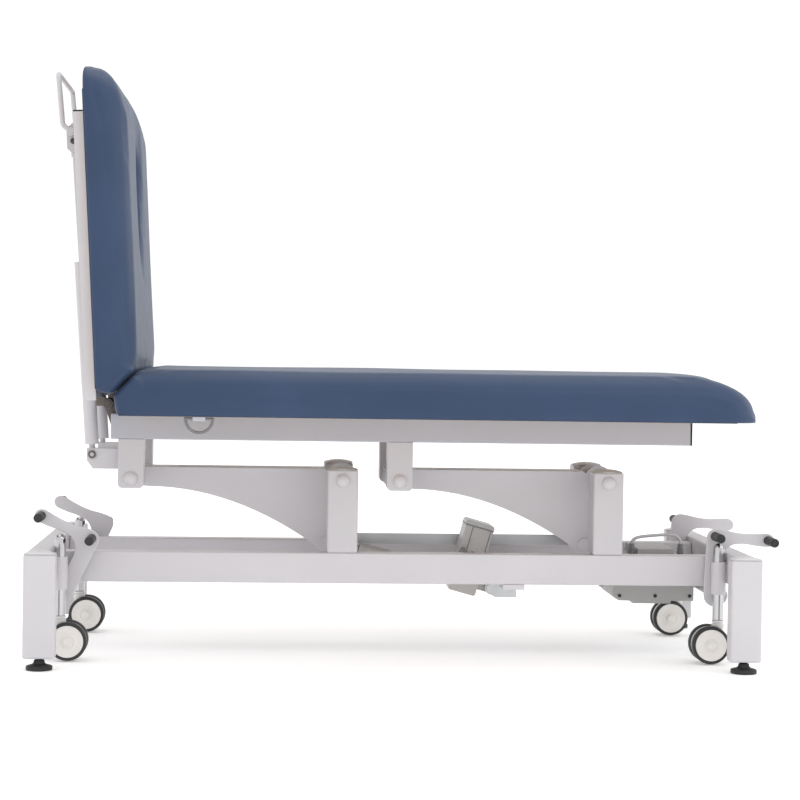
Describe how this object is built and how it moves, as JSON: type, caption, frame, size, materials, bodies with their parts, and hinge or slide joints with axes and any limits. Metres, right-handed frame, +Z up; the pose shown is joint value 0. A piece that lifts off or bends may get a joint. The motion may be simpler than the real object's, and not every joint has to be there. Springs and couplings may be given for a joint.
{
  "type": "medical exam table",
  "caption": "Electric height-adjustable treatment couch: hinged padded backrest with face hole, padded seat, twin lift arms, tube base with levelling feet and pedal casters",
  "frame": {"origin": "on the floor, below the middle of the outline's length and width, backrest raised", "axes": "+X from the head end to the foot end, +Y to the far long side, +Z up"},
  "size_m": [1.4608, 0.704, 1.1463],
  "materials": {
    "white_frame": "white powder coat, satin",
    "grey_housing": "moulded plastic, fine matt grain",
    "zinc_steel": "zinc plated, satin",
    "painted_grey": "light grey paint, satin",
    "chromed": "polished chrome",
    "black_rubber": "matt black rubber",
    "black_screw": "black oxide",
    "board_plastic": "laminate",
    "cable_sheath": "pale flexible sheath",
    "wheel_grey": "moulded nylon with a dark tread",
    "ply": "plywood, sealed",
    "vinyl": "blue-grey upholstery vinyl, fine grain, soft sheen"
  },
  "bodies": {
    "base": {"side_rails": "white_frame", "end_beams": "white_frame", "legs": "white_frame", "uprights": "white_frame", "tube_caps": "white_frame", "caster_sleeves": "white_frame", "lift_pivot_shafts": "white_frame", "cross_members": "white_frame", "actuator_mount": "zinc_steel", "control_box": "grey_housing", "control_box_lid": "grey_housing", "box_screws": "black_screw", "control_board": "board_plastic", "box_cables": "cable_sheath", "strain_reliefs": "grey_housing"},
    "levelling_foot_head_near": {"foot_head_near": "black_rubber"},
    "levelling_foot_head_far": {"foot_head_far": "black_rubber"},
    "levelling_foot_end_near": {"foot_end_near": "black_rubber"},
    "levelling_foot_end_far": {"foot_end_far": "black_rubber"},
    "head_pedal": {"head_lever": "white_frame", "head_lever_pegs": "black_rubber"},
    "foot_pedal": {"foot_lever": "white_frame", "foot_lever_pegs": "black_rubber"},
    "head_stem_pair": {"head_stems": "chromed"},
    "foot_stem_pair": {"foot_stems": "chromed"},
    "head_arm": {"head_arm_shell": "white_frame", "head_arm_tubes": "white_frame"},
    "foot_arm": {"foot_arm_shell": "white_frame", "foot_arm_tubes": "white_frame"},
    "tie": {"tie_bar": "zinc_steel"},
    "actuator": {"actuator_housing": "grey_housing", "actuator_drive": "zinc_steel", "actuator_tube": "painted_grey"},
    "actuator_ram": {"actuator_rod": "chromed"},
    "seat": {"seat_rails": "white_frame", "seat_crossbars": "white_frame", "seat_brackets": "white_frame", "seat_pivot_shafts": "white_frame", "rail_plugs": "black_rubber", "seat_board": "ply", "seat_pad": "vinyl", "seat_end_lugs": "white_frame", "ring_clips": "zinc_steel"},
    "strap_ring_near": {"d_ring_near": "chromed"},
    "strap_ring_far": {"d_ring_far": "chromed"},
    "back": {"back_frame": "white_frame", "back_plugs": "black_rubber", "back_board": "ply", "back_pad": "vinyl"},
    "spring_cylinders": {"gas_cylinders": "painted_grey"},
    "spring_rods": {"gas_rods": "chromed"},
    "handle": {"release_handle": "white_frame"},
    "swivel_head_near": {"caster_head_near": "grey_housing"},
    "rollers_head_near": {"wheels_head_near": "wheel_grey"},
    "swivel_head_far": {"caster_head_far": "grey_housing"},
    "rollers_head_far": {"wheels_head_far": "wheel_grey"},
    "swivel_foot_near": {"caster_foot_near": "grey_housing"},
    "rollers_foot_near": {"wheels_foot_near": "wheel_grey"},
    "swivel_foot_far": {"caster_foot_far": "grey_housing"},
    "rollers_foot_far": {"wheels_foot_far": "wheel_grey"}
  },
  "joints": [
    {"name": "lift", "type": "hinge", "parent": "base", "child": "head_arm", "pos_m": [-0.12843, 0, 0.351], "axis": [0, 1, 0], "range_deg": [-6.5, 41]},
    {"name": "foot_arm_turn", "type": "hinge", "parent": "base", "child": "foot_arm", "pos_m": [0.39957, 0, 0.351], "axis": [0, 1, 0], "range_deg": [-7, 41.5]},
    {"name": "seat_level", "type": "hinge", "parent": "head_arm", "child": "seat", "pos_m": [-0.54443, 0, 0.351], "axis": [0, 1, 0], "range_deg": [-41.5, 7]},
    {"name": "tie_level", "type": "hinge", "parent": "head_arm", "child": "tie", "pos_m": [-0.15643, 0.05, 0.218], "axis": [0, 1, 0], "range_deg": [-41.5, 7]},
    {"name": "actuator_tilt", "type": "hinge", "parent": "base", "child": "actuator", "pos_m": [0.18357, 0, 0.124], "axis": [0, 1, 0], "range_deg": [-3, 5]},
    {"name": "actuator_stroke", "type": "slide", "parent": "actuator", "child": "actuator_ram", "axis": [-0.9638, 0, 0.2665], "range_m": [-0.03, 0.11]},
    {"name": "backrest", "type": "hinge", "parent": "seat", "child": "back", "pos_m": [-0.59043, 0, 0.497], "axis": [0, -1, 0], "range_deg": [0, 86.9]},
    {"name": "spring_tilt", "type": "hinge", "parent": "seat", "child": "spring_cylinders", "pos_m": [-0.62243, 0, 0.396], "axis": [0, -1, 0], "range_deg": [0, 80]},
    {"name": "spring_stroke", "type": "slide", "parent": "spring_cylinders", "child": "spring_rods", "axis": [-0.0696, 0, 0.9976], "range_m": [-0.132, 0]},
    {"name": "handle_turn", "type": "hinge", "parent": "back", "child": "handle", "pos_m": [-0.66924, 0, 1.02751], "axis": [0, 1, 0], "range_deg": [0, 12], "stiffness_Nm_per_rad": 3, "springref_deg": -17.19},
    {"name": "strap_ring_near_swing", "type": "hinge", "parent": "seat", "child": "strap_ring_near", "pos_m": [-0.40743, -0.315, 0.47445], "axis": [1, 0, 0], "range_deg": [-80, 80]},
    {"name": "strap_ring_far_swing", "type": "hinge", "parent": "seat", "child": "strap_ring_far", "pos_m": [-0.40743, 0.315, 0.47445], "axis": [1, 0, 0], "range_deg": [-80, 80]},
    {"name": "head_lever_turn", "type": "hinge", "parent": "base", "child": "head_pedal", "pos_m": [-0.67543, 0, 0.133], "axis": [0, -1, 0], "range_deg": [0, 28]},
    {"name": "foot_lever_turn", "type": "hinge", "parent": "base", "child": "foot_pedal", "pos_m": [0.61457, 0, 0.133], "axis": [0, -1, 0], "range_deg": [0, 28]},
    {"name": "head_stems_drop", "type": "slide", "parent": "base", "child": "head_stem_pair", "axis": [0, 0, -1], "range_m": [0, 0.0102]},
    {"name": "foot_stems_drop", "type": "slide", "parent": "base", "child": "foot_stem_pair", "axis": [0, 0, -1], "range_m": [0, 0.0102]},
    {"name": "swivel_head_near_turn", "type": "hinge", "parent": "head_stem_pair", "child": "swivel_head_near", "pos_m": [-0.67543, -0.205, 0.08], "axis": [0, 0, 1], "continuous": true},
    {"name": "rollers_head_near_roll", "type": "hinge", "parent": "swivel_head_near", "child": "rollers_head_near", "pos_m": [-0.65843, -0.205, 0.0385], "axis": [0, 1, 0], "continuous": true},
    {"name": "swivel_head_far_turn", "type": "hinge", "parent": "head_stem_pair", "child": "swivel_head_far", "pos_m": [-0.67543, 0.205, 0.08], "axis": [0, 0, 1], "continuous": true},
    {"name": "rollers_head_far_roll", "type": "hinge", "parent": "swivel_head_far", "child": "rollers_head_far", "pos_m": [-0.65843, 0.205, 0.0385], "axis": [0, 1, 0], "continuous": true},
    {"name": "swivel_foot_near_turn", "type": "hinge", "parent": "foot_stem_pair", "child": "swivel_foot_near", "pos_m": [0.61457, -0.205, 0.08], "axis": [0, 0, 1], "continuous": true},
    {"name": "rollers_foot_near_roll", "type": "hinge", "parent": "swivel_foot_near", "child": "rollers_foot_near", "pos_m": [0.59757, -0.205, 0.0385], "axis": [0, 1, 0], "continuous": true},
    {"name": "swivel_foot_far_turn", "type": "hinge", "parent": "foot_stem_pair", "child": "swivel_foot_far", "pos_m": [0.61457, 0.205, 0.08], "axis": [0, 0, 1], "continuous": true},
    {"name": "rollers_foot_far_roll", "type": "hinge", "parent": "swivel_foot_far", "child": "rollers_foot_far", "pos_m": [0.59757, 0.205, 0.0385], "axis": [0, 1, 0], "continuous": true},
    {"name": "levelling_head_near_screw", "type": "slide", "parent": "base", "child": "levelling_foot_head_near", "axis": [0, 0, -1], "range_m": [0, 0.012]},
    {"name": "levelling_head_far_screw", "type": "slide", "parent": "base", "child": "levelling_foot_head_far", "axis": [0, 0, -1], "range_m": [0, 0.012]},
    {"name": "levelling_end_near_screw", "type": "slide", "parent": "base", "child": "levelling_foot_end_near", "axis": [0, 0, -1], "range_m": [0, 0.012]},
    {"name": "levelling_end_far_screw", "type": "slide", "parent": "base", "child": "levelling_foot_end_far", "axis": [0, 0, -1], "range_m": [0, 0.012]}
  ],
  "couplings": [
    {"joint": "foot_arm_turn", "follows": "lift", "ratio": 1},
    {"joint": "seat_level", "follows": "lift", "ratio": -1},
    {"joint": "tie_level", "follows": "lift", "ratio": -1},
    {"joint": "actuator_tilt", "follows": "lift", "ratio": 0.068725},
    {"joint": "actuator_stroke", "follows": "lift", "m_per_rad": 0.12935},
    {"joint": "spring_tilt", "follows": "backrest", "ratio": 0.907},
    {"joint": "spring_stroke", "follows": "backrest", "m_per_rad": -0.0855},
    {"joint": "head_stems_drop", "follows": "head_lever_turn", "m_per_rad": 0.020463},
    {"joint": "foot_stems_drop", "follows": "foot_lever_turn", "m_per_rad": 0.020463}
  ]
}
